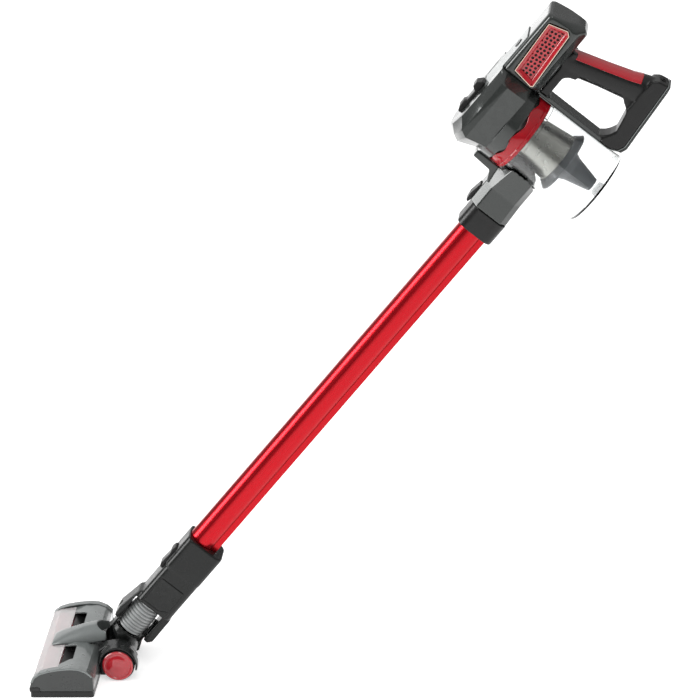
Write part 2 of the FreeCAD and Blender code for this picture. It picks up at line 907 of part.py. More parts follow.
def cap_outline(front, front_half, corner, half):
    """Plan of the motor cap at one level: a ridged nose, slanted cheeks, sides and a tapered rear."""
    tail = min(half, 34.0)
    return [
        (0, back(front - 6.5)),
        (-front_half, back(front)),
        (-half, back(corner)),
        (-half, back(190)),
        (-tail + 1, back(D.box_start - 0.2)),
        (tail - 1, back(D.box_start - 0.2)),
        (half, back(190)),
        (half, back(corner)),
        (front_half, back(front)),
    ]


def motor_cap():
    """Faceted gloss cap over the fan and the motor."""
    piece = Piece("motor_cap", WAND)
    piece.loft("XY", [
        (D.band_top + 0.1, cap_outline(95.5, 24, 110, 51)),
        (95, cap_outline(84, 24, 104, 53.5)),
        (104, cap_outline(89, 24, 108, 51.5)),
        (D.housing_top, cap_outline(97, 18, 119, 36)),
    ])
    piece.cut("XY", D.band_top, 94, circle(0, -D.cyclone_back, 46.5))
    piece.cut("XY", 93, 109, circle(0, -D.cyclone_back, 33))
    piece.cut("XY", PANEL_FLOOR, D.housing_top + 1, rect(-22, 22, back(D.box_start), back(163)))


def cap_latch():
    """Sliding latch on the cap's top, with a thumb rest at each end."""
    piece = Piece("cap_latch", WAND)
    base = D.housing_top + 0.1
    piece.pad("YZ", -9, 9, side_view([
        (112, base),
        (112, 117),
        (118, 119.8),
        (126, 119.8),
        (130, 117),
        (146, 117),
        (150, 123),
        (157, 123),
        (162.8, 117.5),
        (162.8, base),
    ]))


# ---------------------------------------------------------------- exhaust box

GRILLE_WINDOW = ((204, 71), (206, 68.3), (287, 74.8), (291.5, 80), (284, 105), (208.5, 99.5))
GRILLE_RIM = 31.6
GRILLE_BACK = 27.1
GRILLE_THICKNESS = 1.3
TRIM_WIDTH = 1.8


def exhaust_box():
    """Hollow box behind the cap: its sides hold the grilles."""
    piece = Piece("exhaust_box", WAND)
    half = D.box_half_width
    start = back(D.box_start)
    top = D.box_top
    piece.pad("XZ", back(D.box_end), start, [
        (-18, D.box_bottom),
        (18, D.box_bottom),
        (half, D.box_bottom + 13),
        (half, top - 4),
        (27, top),
        (-27, top),
        (-half, top - 4),
        (-half, D.box_bottom + 13),
    ])
    piece.round_edges(3, runs_along("y"))
    piece.cut("XY", D.box_bottom - 1, top + 1, [
        (-half - 1, back(294)),
        (-28, back(299.5)),
        (-17, back(303.5)),
        (17, back(303.5)),
        (28, back(299.5)),
        (half + 1, back(294)),
        (half + 1, back(330)),
        (-half - 1, back(330)),
    ])
    slanted_end = [(293.5, 114), (330, 114), (330, 54), (299, 54), (305, 66)]
    piece.cut("YZ", -half - 1, half + 1, side_view(slanted_end))
    piece.cut("XZ", back(287), start, rect(-28, 28, D.box_bottom + 15, top - 7.5))
    window = side_view(GRILLE_WINDOW)
    piece.cut("YZ", -half, -half + 6, window)
    piece.cut("YZ", half - 6, half, window)
    piece.cut("XY", PANEL_FLOOR, top + 1, rect(-22, 22, back(250), start))
    piece.cut("XY", 108, PANEL_FLOOR, circle(0, back(230), 6.6))


def inset(points, distance):
    """A convex outline moved inwards by a distance."""
    count = len(points)
    turn = sum(
        points[i][0] * points[(i + 1) % count][1] - points[(i + 1) % count][0] * points[i][1]
        for i in range(count)
    )
    sign = 1 if turn > 0 else -1
    lines = []
    for index in range(count):
        (x0, y0), (x1, y1) = points[index], points[(index + 1) % count]
        length = math.hypot(x1 - x0, y1 - y0)
        normal = (-(y1 - y0) / length * sign, (x1 - x0) / length * sign)
        lines.append((normal, normal[0] * x0 + normal[1] * y0 + distance))
    moved = []
    for index in range(count):
        (a0, b0), c0 = lines[index - 1]
        (a1, b1), c1 = lines[index]
        cross = a0 * b1 - a1 * b0
        moved.append(((c0 * b1 - c1 * b0) / cross, (a0 * c1 - a1 * c0) / cross))
    return moved


def grille(label, side):
    """Red tray set into one side of the box, with a perforated floor."""
    piece = Piece(label, WAND)
    rim = GRILLE_RIM * side
    floor = (GRILLE_BACK + GRILLE_THICKNESS) * side
    rear = GRILLE_BACK * side
    piece.pad("YZ", min(rear, rim), max(rear, rim), side_view(GRILLE_WINDOW))
    piece.cut("YZ", min(floor, rim), max(floor, rim), side_view(inset(GRILLE_WINDOW, TRIM_WIDTH)))
    holes = []
    for row in range(15):
        for column in range(4 if row < 11 else 3):
            distance = 284.0 - row * 5.3 - column * 0.9
            height = 83.0 + column * 5.4 - row * 0.36 + (row % 2) * 1.2
            holes.append(circle(back(distance), height, 1.9))
    piece.cut("YZ", min(rear, floor), max(rear, floor), *holes)


def grille_trims():
    """Champagne frame round each grille."""
    piece = Piece("grille_trims", WAND)
    outer = side_view(GRILLE_WINDOW)
    inner = side_view(inset(GRILLE_WINDOW, TRIM_WIDTH))
    low = GRILLE_RIM
    high = D.box_half_width + 0.4
    piece.pad("YZ", low, high, outer, inner)
    piece.pad("YZ", -high, -low, outer, inner)


def display_panel():
    """Light grey panel on top, from the cap onto the box, with the speed button's hole."""
    piece = Piece("display_panel", WAND)
    low = PANEL_FLOOR + 0.1
    piece.pad("XY", low, D.housing_top, rect(-21.8, 21.8, back(249.8), back(163.2)))
    piece.cut("XY", low, D.housing_top, circle(0, back(230), 6.3))


def speed_button():
    """Round button that changes the suction."""
    piece = Piece("speed_button", WAND)
    piece.pad("XY", 109.7, D.housing_top + 0.8, circle(0, back(230), 6))


def circuit_board():
    """Control board on the box's floor."""
    piece = Piece("circuit_board", WAND)
    low = D.box_bottom + 15
    piece.pad("XY", low, low + 1.6, rect(-24, 24, back(284), back(215)))
    piece.pad("XY", low + 1.6, low + 12, rect(-8, 8, back(245), back(229)))


# ---------------------------------------------------------------- inlet

def inlet_section(half, shoulder, low, high):
    """Eight-sided section of the inlet duct."""
    return [
        (-shoulder, low),
        (shoulder, low),
        (half, low + 9),
        (half, high - 11),
        (shoulder, high),
        (-shoulder, high),
        (-half, high - 11),
        (-half, low + 9),
    ]


def inlet_duct():
    """Duct from the wand to the cup: a spigot, a body that widens into a saddle, and a bracket."""
    piece = Piece("inlet_duct", WAND)
    piece.loft("XZ", [
        (back(29.2), inlet_section(23, 13, -26.5, 31)),
        (back(62), inlet_section(23, 13, -24.5, 31.5)),
        (back(112), inlet_section(38, 22, -22.5, 28)),
    ])
    piece.pad("YZ", -16, 16, side_view([(62, 25), (64, 31.4), (77, 38), (79, 65.9), (96, 65.9), (96, 25)]))
    piece.pad("XZ", back(29.3), 9, circle(0, D.tube_rise, 16.7))
    piece.cut("XZ", back(120), 9, circle(0, D.tube_rise, 14.6))
    axis = -D.cyclone_back
    piece.cut("XY", -40, D.cup_top - 4.3, circle(0, axis, D.cup_radius + 0.3))
    piece.cut("XY", D.cup_top - 4.3, D.band_top, circle(0, axis, D.ring_radius + 0.3))
    piece.cut("XY", 24, 45, rect(-8.4, 8.4, back(52.5), back(29.2)))


def inlet_button():
    """Button on the inlet that lets the wand go."""
    piece = Piece("inlet_button", WAND)
    piece.pad("YZ", -8, 8, side_view([
        (52.1, 26.8),
        (52.1, 33),
        (34, 35.5),
        (24, 34),
        (23, 31),
        (29.4, 29.2),
        (29.6, 26.8),
    ]))


# ---------------------------------------------------------------- handle

GRIP_BACK = ((273.4, 44.5), (283.6, 9.5), (297.2, -37.5))
INSERT_DEPTH = 2.6


def insert_outline():
    """Side view of the strip let into the grip's back."""
    inner = [(distance - INSERT_DEPTH, height) for distance, height in reversed(GRIP_BACK)]
    return side_view(list(GRIP_BACK) + inner)


def grip_shell():
    """Pistol grip with the root that joins it to the box."""
    piece = Piece("grip_shell", WAND)
    half = D.grip_half_width
    piece.pad("YZ", -half, half, side_view([
        (200.4, D.box_bottom - 0.1),
        (269.5, D.box_bottom - 0.1),
        (283, 9),
        (298, -41),
        (303, -46.7),
        (252, -46.7),
        (257, -36),
        (249, 3),
        (237, 41.5),
        (200.4, 41.5),
    ]))
    piece.cut("YZ", -9, 9, insert_outline())


def grip_insert():
    """Red strip along the grip's back."""
    piece = Piece("grip_insert", WAND)
    piece.pad("YZ", -9, 9, insert_outline())


BASE_FLOOR = ((310.9, -66.6), (212, -75.3), (202, -71.2), (197.2, -60))
BATTERY_WELL = ((213, -80), (213, -61), (296, -55), (296, -60))


def handle_base():
    """Lower bar of the handle, which holds the battery and the charging socket."""
    piece = Piece("handle_base", WAND)
    half = D.handle_half_width
    piece.pad("YZ", -half, half, side_view([
        (197.2, -46.8),
        (204, -46.8),
        (219, -54.5),
        (245, -49),
        (252, -46.8),
        (303, -46.8),
        (308.5, -54.5),
        *BASE_FLOOR,
    ]))
    piece.cut("XY", -82, -61, rect(-12.4, 12.4, back(296), back(213)))
    piece.cut("XZ", back(320), back(300.5), circle(0, -60, 4.5))
    piece.cut("YZ", 9, half, side_view([(298.6, -61.4), (298.6, -51.6), (307.4, -57), (307.4, -61.4)]))


def battery_pack():
    """Battery that drops out of the base: a cell block under the outer cover."""
    piece = Piece("battery_pack", WAND)
    half = D.handle_half_width
    piece.pad("YZ", -half, half, side_view([
        (311, -68.3),
        (212, -77),
        (201.2, -72.8),
        (202.5, -77),
        (211, -80),
        (304, -71.8),
        (311.5, -70.2),
    ]))
    piece.pad("XY", -77.5, -61.5, rect(-12, 12, back(295.5), back(213.5)))
    slanted_foot = [(230, -90), (320, -90), (320, -69.5), (304, -71.8), (230, -78.2)]
    piece.cut("YZ", -half, half, side_view(slanted_foot))


def battery_button():
    """Side button that lets the battery go."""
    piece = Piece("battery_button", WAND)
    corner = [(299, -61), (299, -52.6), (307, -57.4), (307, -61)]
    piece.pad("YZ", 12, D.handle_half_width + 1, side_view(corner))


def charge_socket():
    """Round socket for the charger's plug, in the base's end."""
    piece = Piece("charge_socket", WAND)
    mouth = back(310)
    piece.pad("XZ", mouth, back(300.5), circle(0, -60, 4.5))
    piece.cut("XZ", mouth, mouth + D.socket_depth, circle(0, -60, D.socket_radius))


def handle_trim():
    """Silver line down the strut's front and round under the base."""
    piece = Piece("handle_trim", WAND)
    half = D.handle_half_width
    outer = [(196, 52), (196, -60.5), (201.2, -72.6), (212, -76.8), (311, -68)]
    inner = [(311, -66.8), (212, -75.5), (202, -71.5), (197, -60.2), (197, 52)]
    piece.pad("YZ", -half, half, side_view(outer + inner))
    piece.cut("XY", -90, -61, rect(-12.4, 12.4, back(296), back(213)))


def front_strut():
    """Flat strut behind the cup, from the box down to the base."""
    piece = Piece("front_strut", WAND)
    half = D.grip_half_width
    piece.pad("YZ", -half, half, side_view([
        (197.2, D.box_bottom - 0.1),
        (200.3, D.box_bottom - 0.1),
        (200.3, 41.4),
        (202.6, 38),
        (202.6, -41),
        (204, -46.7),
        (197.2, -46.7),
    ]))


# ---------------------------------------------------------------- build

wand_tube()
wand_power_lead()
wand_upper_collar()
wand_lower_plug()
neck_fork()
neck_side_covers()
neck_latch_button()
swivel_pins()
flexible_hose()
elbow()
head_base()
head_screws()
head_top_cover()
spine_cover()
brush_window()
end_cap("end_cap_left", -1)
end_cap("end_cap_right", 1)
front_bumper()
rear_housing()
pivot_axles()
wheel("left", -1)
wheel("right", 1)
brush_roller()
brush_bristles()
brush_bearing()
brush_motor()
motor_pulley()
drive_belt()
cyclone_housing()
lock_ring()
dust_cup()
cup_seal()
mesh_filter()
cyclone_cone()
hepa_filter()
impeller()
motor_body()
motor_cap()
cap_latch()
exhaust_box()
grille("grille_left", -1)
grille("grille_right", 1)
grille_trims()
display_panel()
speed_button()
circuit_board()
inlet_duct()
inlet_button()
grip_shell()
grip_insert()
handle_base()
battery_pack()
battery_button()
charge_socket()
handle_trim()
front_strut()

for made in PIECES:
    made.body.Placement = made.place
doc.recompute()

for item in doc.Objects:
    if "Invalid" in item.State or "Error" in item.State:
        raise RuntimeError(f"{item.Label} did not build: {item.State}")
for made in PIECES:
    shape = made.body.Shape
    if shape.isNull() or not shape.isValid() or not shape.Solids:
        raise RuntimeError(f"{made.body.Label} has no valid solid")

os.makedirs("parts", exist_ok=True)
for made in PIECES:
    made.body.Shape.exportStep(f"parts/{made.body.Label}.step")
print(len(PIECES), "sub-parts")
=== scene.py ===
import json
import math
import random

import bmesh
import bpy
from mathutils import Matrix, Vector


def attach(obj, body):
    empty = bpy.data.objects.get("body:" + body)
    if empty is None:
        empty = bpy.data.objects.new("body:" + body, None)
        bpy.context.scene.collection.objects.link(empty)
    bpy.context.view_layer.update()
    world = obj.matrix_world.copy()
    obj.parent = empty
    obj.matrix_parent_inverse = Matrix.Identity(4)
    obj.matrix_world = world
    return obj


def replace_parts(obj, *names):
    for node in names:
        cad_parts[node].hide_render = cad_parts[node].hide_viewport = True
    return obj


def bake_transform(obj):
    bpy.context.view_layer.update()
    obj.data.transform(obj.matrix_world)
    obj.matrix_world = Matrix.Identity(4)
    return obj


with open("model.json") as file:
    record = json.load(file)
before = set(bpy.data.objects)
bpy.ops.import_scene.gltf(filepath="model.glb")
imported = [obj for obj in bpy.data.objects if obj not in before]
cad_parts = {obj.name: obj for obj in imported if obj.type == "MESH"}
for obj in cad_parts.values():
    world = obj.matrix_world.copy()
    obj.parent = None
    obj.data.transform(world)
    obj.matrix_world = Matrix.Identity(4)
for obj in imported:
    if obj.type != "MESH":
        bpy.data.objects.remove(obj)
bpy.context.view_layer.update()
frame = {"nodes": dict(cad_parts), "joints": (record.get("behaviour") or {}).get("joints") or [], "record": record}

MM = 0.001
NODES = frame["nodes"]
RECORD = frame["record"]
BODY_OF = {node: body for body, members in RECORD["behaviour"]["bodies"].items() for node in members}
SLOT_OF = {entry["node"]: entry["material_slot"] for entry in RECORD["subparts"]}
JOINTS = {joint["name"]: joint for joint in frame["joints"]}

# The wand's own frame: x to the right, s up the wand from its top end, z square to it.
ALONG = Vector(JOINTS["wand_pull_off"]["axis"])
ACROSS = Vector(JOINTS["fan_spin"]["axis"])
LEAN = math.atan2(-ALONG.z, ALONG.y)
CYCLONE = 141.0
FAN_HEIGHT = 72.0
WHEEL_BACK = 68.65
TUBE_TOP = Vector(JOINTS["fan_spin"]["pos_m"]) + (ALONG * CYCLONE - ACROSS * FAN_HEIGHT) * MM
WHEEL_AXIS = Vector(JOINTS["head_pitch"]["pos_m"])
BRUSH_AXIS = Vector(JOINTS["brush_spin"]["pos_m"])


def wand_point(x, s, z):
    """A point given in millimetres in the wand's frame."""
    return TUBE_TOP + (Vector((x, 0, 0)) - ALONG * s + ACROSS * z) * MM


def head_point(x, y, z):
    """A point given in millimetres from the middle of the floor head's underside."""
    return Vector((0, WHEEL_AXIS.y + WHEEL_BACK * MM, 0)) + Vector((x, y, z)) * MM


def cyclone_spot(radius, turn, height):
    """A point round the cyclone's axis."""
    return wand_point(radius * math.cos(turn), CYCLONE + radius * math.sin(turn), height)


def hose_spot(radius, turn, distance):
    """A point round the neck's line, at a distance down the wand."""
    return wand_point(radius * math.cos(turn), -distance, 0.5 + radius * math.sin(turn))


def brush_spot(radius, turn, x):
    """A point round the brush's axis."""
    return BRUSH_AXIS + Vector((x, radius * math.cos(turn), radius * math.sin(turn))) * MM


def wheel_spot(radius, turn, x):
    """A point round the wheels' axis."""
    return WHEEL_AXIS + Vector((x, radius * math.cos(turn), radius * math.sin(turn))) * MM


# ---------------------------------------------------------------- materials

class Shader:
    """A node material being put together."""

    def __init__(self, name):
        self.material = bpy.data.materials.new(name)
        self.material.use_nodes = True
        self.nodes = self.material.node_tree.nodes
        self.links = self.material.node_tree.links
        self.surface = self.nodes["Principled BSDF"]

    def set(self, **values):
        for key, value in values.items():
            self.surface.inputs[key.replace("_", " ")].default_value = value

    def add(self, kind, **inputs):
        node = self.nodes.new(kind)
        for key, value in inputs.items():
            socket = node.inputs[key.replace("_", " ")]
            if isinstance(value, bpy.types.NodeSocket):
                self.links.new(value, socket)
            else:
                socket.default_value = value
        return node

    def place(self):
        """Object coordinates, in metres."""
        return self.add("ShaderNodeTexCoord").outputs["Object"]

    def wand_place(self, scale):
        """Object coordinates turned so that Y runs along the wand, then scaled on each axis."""
        turned = self.add("ShaderNodeMapping", Vector=self.place(), Rotation=(LEAN, 0, 0))
        return self.add("ShaderNodeMapping", Vector=turned.outputs["Vector"], Scale=scale).outputs["Vector"]

    def noise(self, scale, detail=4.0, roughness=0.5, vector=None):
        node = self.add("ShaderNodeTexNoise", Scale=scale, Detail=detail, Roughness=roughness,
                        Vector=vector or self.place())
        return node.outputs["Fac"]

    def ramp(self, value, stops):
        """A colour ramp from (position, colour) pairs."""
        node = self.add("ShaderNodeValToRGB", Fac=value)
        elements = node.color_ramp.elements
        while len(elements) < len(stops):
            elements.new(0.5)
        for element, (position, colour) in zip(elements, stops):
            element.position = position
            element.color = (*colour, 1)
        return node.outputs["Color"]

    def spread(self, value, low, high, start, end):
        """A value moved from one range to another."""
        node = self.add("ShaderNodeMapRange", Value=value)
        node.inputs["From Min"].default_value = low
        node.inputs["From Max"].default_value = high
        node.inputs["To Min"].default_value = start
        node.inputs["To Max"].default_value = end
        return node.outputs["Result"]

    def blend(self, factor, first, second):
        return self.add("ShaderNodeMixRGB", Fac=factor, Color1=first, Color2=second).outputs["Color"]

    def worn_edges(self, colour, worn):
        """A colour that turns to the worn one in patches along raised edges."""
        raised = self.add("ShaderNodeNewGeometry").outputs["Pointiness"]
        edge = self.spread(raised, 0.53, 0.62, 0.0, 0.6)
        patches = self.spread(self.noise(90.0, 5.0, 0.7), 0.45, 0.65, 0.0, 1.0)
        amount = self.add("ShaderNodeMath")
        amount.operation = "MULTIPLY"
        self.links.new(edge, amount.inputs[0])
        self.links.new(patches, amount.inputs[1])
        return self.blend(amount.outputs["Value"], colour, (*worn, 1))

    def feed(self, name, value):
        self.links.new(value, self.surface.inputs[name])

    def bump(self, height, strength, distance):
        node = self.add("ShaderNodeBump", Height=height, Strength=strength, Distance=distance)
        self.feed("Normal", node.outputs["Normal"])


def moulded(name, colour, roughness, grain, coat=0.0, specular=0.5):
    """Moulded plastic: a faint colour change, fine grain, uneven gloss and rubbed edges."""
    shader = Shader(name)
    shader.set(Metallic=0.0, Coat_Weight=coat, Coat_Roughness=0.05, Specular_IOR_Level=specular)
    darker = [channel * 0.9 for channel in colour]
    lighter = [min(1.0, channel * 1.1) for channel in colour]
    patches = shader.ramp(shader.noise(14.0, 3.0), [(0.3, darker), (0.7, lighter)])
    worn = [min(1.0, channel * 1.5 + 0.02) for channel in colour]
    shader.feed("Base Color", shader.worn_edges(patches, worn))
    wear = shader.noise(60.0, 5.0, 0.65)
    shader.feed("Roughness", shader.spread(wear, 0.3, 0.7, roughness * 0.8, roughness * 1.25))
    shader.bump(shader.noise(900.0, 2.0), grain, 0.0001)
    return shader.material


def lacquer(name, colour, roughness, flake):
    """Glossy paint with a fine metal flake."""
    shader = Shader(name)
    shader.set(Metallic=0.3, Coat_Weight=0.5, Coat_Roughness=0.03)
    darker = [channel * (1 - flake) for channel in colour]
    lighter = [min(1.0, channel * (1 + flake)) for channel in colour]
    flakes = shader.ramp(shader.noise(2600.0, 1.0), [(0.35, darker), (0.65, lighter)])
    worn = [min(1.0, channel * 1.8 + 0.02) for channel in colour]
    shader.feed("Base Color", shader.worn_edges(flakes, worn))
    haze = shader.noise(35.0, 4.0, 0.6)
    shader.feed("Roughness", shader.spread(haze, 0.3, 0.7, roughness * 0.85, roughness * 1.2))
    shader.bump(shader.noise(220.0, 2.0), 0.03, 0.0003)
    return shader.material


def clear(name, colour, roughness, transmission=1.0):
    """Clear moulded plastic with faint flow marks."""
    shader = Shader(name)
    shader.set(Base_Color=(*colour, 1), Transmission_Weight=transmission, IOR=1.46, Metallic=0.0)
    marks = shader.noise(25.0, 2.0)
    shader.feed("Roughness", shader.spread(marks, 0.3, 0.8, roughness, roughness * 3))
    shader.bump(marks, 0.02, 0.001)
    return shader.material


def metal(name, colour, roughness, streaks=0.1, metallic=1.0, coat=0.0):
    """Metal drawn along the wand, with fine streaks the same way."""
    shader = Shader(name)
    shader.set(Metallic=metallic, Coat_Weight=coat, Coat_Roughness=0.05)
    lines = shader.noise(1.0, 3.0, 0.6, shader.wand_place((900.0, 6.0, 900.0)))
    darker = [channel * (1 - streaks) for channel in colour]
    shader.feed("Base Color", shader.ramp(lines, [(0.3, darker), (0.7, colour)]))
    shader.feed("Roughness", shader.spread(lines, 0.3, 0.7, roughness * 0.85, roughness * 1.2))
    shader.bump(lines, 0.03, 0.0001)
    return shader.material


def perforated(name, colour, hole, roughness):
    """Steel sheet with rows of small round holes, laid out on the surface's own coordinates; the holes are painted
    shade, a near-black dot for the dark inside seen through each.
    """
    shader = Shader(name)
    shader.set(Metallic=1.0)
    spots = shader.add("ShaderNodeTexVoronoi", Vector=shader.add("ShaderNodeUVMap").outputs["UV"],
                       Scale=1.0, Randomness=0.0)
    # Painted shade: the dark colour fills each hole in place of the shaded inside behind the sheet.
    sheet = shader.ramp(spots.outputs["Distance"], [(0.24, hole), (0.34, colour)])
    shader.feed("Base Color", sheet)
    shader.feed("Roughness", shader.spread(shader.noise(80.0), 0.3, 0.7, roughness * 0.8, roughness * 1.2))
    shader.bump(spots.outputs["Distance"], 0.4, 0.0002)
    return shader.material


def pile(name, colour, tip):
    """Soft nylon bristles."""
    shader = Shader(name)
    shader.set(Roughness=0.85, Sheen_Weight=0.4)
    strands = shader.noise(1.0, 2.0, 0.6, shader.wand_place((2500.0, 400.0, 400.0)))
    shader.feed("Base Color", shader.ramp(strands, [(0.3, colour), (0.7, tip)]))
    shader.bump(strands, 0.8, 0.0005)
    return shader.material


MATERIALS = {
    "gloss_charcoal": lacquer("gloss_charcoal", (0.03, 0.034, 0.032), 0.2, 0.3),
    "matte_black": moulded("matte_black", (0.007, 0.007, 0.007), 0.3, 0.3, specular=0.35),
    "charcoal_plastic": moulded("charcoal_plastic", (0.011, 0.012, 0.0115), 0.26, 0.2, specular=0.28),
    "cap_charcoal": moulded("cap_charcoal", (0.034, 0.037, 0.036), 0.3, 0.2),
    "silver_plastic": lacquer("silver_plastic", (0.17, 0.185, 0.182), 0.3, 0.12),
    "grey_plastic": moulded("grey_plastic", (0.12, 0.13, 0.14), 0.35, 0.2),
    "red_plastic": moulded("red_plastic", (0.46, 0.004, 0.014), 0.18, 0.05, coat=0.7),
    "soft_rubber": moulded("soft_rubber", (0.01, 0.01, 0.01), 0.6, 0.5),
    "tyre_rubber": moulded("tyre_rubber", (0.009, 0.009, 0.009), 0.7, 0.6),
    "hose_silver": moulded("hose_silver", (0.34, 0.35, 0.35), 0.28, 0.05, coat=0.3),
    "filter_paper": moulded("filter_paper", (0.75, 0.73, 0.68), 0.85, 0.6),
    "board_green": moulded("board_green", (0.02, 0.12, 0.05), 0.4, 0.2),
    "brush_pile": pile("brush_pile", (0.55, 0.1, 0.14), (0.9, 0.42, 0.46)),
    "red_metal": metal("red_metal", (0.5, 0.006, 0.013), 0.25, 0.12, metallic=0.9, coat=0.15),
    # The second colour is the painted shade inside the holes.
    "mesh_steel": perforated("mesh_steel", (0.52, 0.52, 0.48), (0.03, 0.03, 0.03), 0.3),
    "steel": metal("steel", (0.6, 0.6, 0.6), 0.25),
    "champagne": metal("champagne", (0.8, 0.68, 0.55), 0.22),
    "motor_metal": metal("motor_metal", (0.25, 0.25, 0.26), 0.5),
    "brass_contact": metal("brass_contact", (0.75, 0.55, 0.2), 0.2),
    "clear_plastic": clear("clear_plastic", (0.95, 0.96, 0.96), 0.01),
    # Partly painted reflection: a milkier, whiter copy of the clear plastic, whose whiteness stands in for the
    # reflection on the window's front.
    "window_plastic": clear("window_plastic", (0.92, 0.89, 0.89), 0.07, transmission=0.62),
    "red_clear": clear("red_clear", (0.66, 0.013, 0.026), 0.03, transmission=0.55),
}


# ---------------------------------------------------------------- making pieces

def smooth(obj, angle=35.0):
    """Smooth shading, with edges sharper than the angle kept crisp."""
    obj.data.shade_smooth()
    obj.data.set_sharp_from_angle(angle=math.radians(angle))


def dress(obj, node, stands_for=True):
    """Gives a piece its node's material, slot and body."""
    obj.data.materials.clear()
    obj.data.materials.append(MATERIALS[SLOT_OF[node]])
    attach(obj, BODY_OF[node])
    if stands_for:
        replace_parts(obj, node)


def link(name, mesh):
    obj = bpy.data.objects.new(name, mesh)
    bpy.context.scene.collection.objects.link(obj)
    return obj


def solid(name, points, faces):
    """A closed mesh whose faces all look outwards."""
    mesh = bpy.data.meshes.new(name)
    mesh.from_pydata(points, [], faces)
    work = bmesh.new()
    work.from_mesh(mesh)
    bmesh.ops.recalc_face_normals(work, faces=work.faces)
    work.to_mesh(mesh)
    work.free()
    return link(name, mesh)


def copied(node):
    """A copy of the CAD node's shape with its flat faces whole."""
    mesh = NODES[node].data.copy()
    mesh.name = node + "_shell"
    work = bmesh.new()
    work.from_mesh(mesh)
    bmesh.ops.remove_doubles(work, verts=work.verts, dist=1e-6)
    bmesh.ops.dissolve_limit(work, angle_limit=math.radians(1.0), verts=work.verts, edges=work.edges)
    work.to_mesh(mesh)
    work.free()
    return link(node + "_shell", mesh)


def softened(node, width):
    """The CAD node's shape with a small round on its edges."""
    obj = copied(node)
    bevel = obj.modifiers.new("edges", "BEVEL")
    bevel.width = width * MM
    bevel.segments = 2
    bevel.limit_method = "ANGLE"
    bevel.angle_limit = math.radians(28)
    smooth(obj)
    dress(obj, node)
    return obj


def slab(name, outline, half):
    """A flat piece with the given side view of (s, z) points, as wide as twice the half."""
    count = len(outline)
    points = [wand_point(x, s, z) for x in (-half, half) for s, z in outline]
    faces = [tuple(range(count)), tuple(range(2 * count - 1, count - 1, -1))]
    for corner in range(count):
        after = (corner + 1) % count
        faces.append((corner, corner + count, after + count, after))
    return solid(name, points, faces)


def skinned(name, sections):
    """A closed skin through rings with equal numbers of points."""
    count = len(sections[0])
    points = [point for section in sections for point in section]
    faces = [tuple(range(count)), tuple(range(len(points) - 1, len(points) - count - 1, -1))]
    for ring in range(len(sections) - 1):
        for corner in range(count):
            after = (corner + 1) % count
            low, high = ring * count, (ring + 1) * count
            faces.append((low + corner, high + corner, high + after, low + after))
    return solid(name, points, faces)


def merged(name, parts):
    """Several closed shapes in one mesh."""
    work = bmesh.new()
    for part in parts:
        work.from_mesh(part.data)
        bpy.data.objects.remove(part)
    mesh = bpy.data.meshes.new(name)
    work.to_mesh(mesh)
    work.free()
    return link(name, mesh)


def flow(obj, cell, passes):
    """Remakes a closed shape in fine even cells and smooths it, for a flowing moulding."""
    remesh = obj.modifiers.new("cells", "REMESH")
    remesh.mode = "VOXEL"
    remesh.voxel_size = cell * MM
    remesh.use_smooth_shade = True
    relax = obj.modifiers.new("flow", "SMOOTH")
    relax.factor = 0.5
    relax.iterations = passes


def rounded(node, cell, passes):
    """The CAD node's shape as a flowing moulding."""
    obj = copied(node)
    flow(obj, cell, passes)
    dress(obj, node)
    return obj


def lathe(name, profile, spot, steps):
    """A profile of (radius, height) pairs swept round an axis; spot places each point."""
    count = len(profile)
    points = [
        spot(radius, 2 * math.pi * step / steps, height)
        for step in range(steps)
        for radius, height in profile
    ]
    faces = []
    for step in range(steps):
        here, there = step * count, (step + 1) % steps * count
        for row in range(count):
            after = (row + 1) % count
            faces.append((here + row, here + after, there + after, there + row))
    return solid(name, points, faces)


def wrap_coordinates(obj, profile, steps, pitch):
    """Surface coordinates for a lathe piece, one unit to each pitch in millimetres."""
    count = len(profile)
    widest = max(radius for radius, height in profile)
    around = round(2 * math.pi * widest / pitch) / steps
    layer = obj.data.uv_layers.new(name="wrap")
    for polygon in obj.data.polygons:
        steps_here = [obj.data.loops[index].vertex_index // count for index in polygon.loop_indices]
        wraps = max(steps_here) - min(steps_here) > 1
        for index, step in zip(polygon.loop_indices, steps_here):
            row = obj.data.loops[index].vertex_index % count
            turn = steps if wraps and step == 0 else step
            layer.data[index].uv = (turn * around, profile[row][1] / pitch)


# ---------------------------------------------------------------- carried-over CAD nodes

for node, obj in NODES.items():
    obj.data.materials.clear()
    obj.data.materials.append(MATERIALS[SLOT_OF[node]])
    smooth(obj, 30.0)

# The window takes the milkier clear plastic, partly a painted reflection.
NODES["brush_window"].data.materials[0] = MATERIALS["window_plastic"]

SOFTENED = {
    "motor_cap": 2.2,
    "wand_upper_collar": 0.8,
    "neck_side_covers": 0.4,
    "head_base": 0.8,
    "head_top_cover": 0.8,
    "front_bumper": 0.8,
    "handle_trim": 0.3,
    "cap_latch": 0.6,
    "display_panel": 0.4,
    "cyclone_housing": 0.5,
    "wheel_tyre_left": 0.6,
    "wheel_tyre_right": 0.6,
}
for node, width in SOFTENED.items():
    softened(node, width)

ROUNDED = {
    "exhaust_box": (1.3, 40),
    "inlet_duct": (0.9, 8),
    "inlet_button": (0.5, 8),
    "neck_fork": (0.9, 24),
    "neck_latch_button": (0.6, 10),
    "elbow": (0.9, 10),
    "rear_housing": (0.9, 10),
    "front_strut": (0.6, 4),
    "battery_pack": (0.8, 6),
}
for node, (cell, passes) in ROUNDED.items():
    rounded(node, cell, passes)
for node in ("end_cap_left", "end_cap_right"):
    rounded(node, 0.8, 8).data.materials[0] = MATERIALS["cap_charcoal"]


# ---------------------------------------------------------------- handle

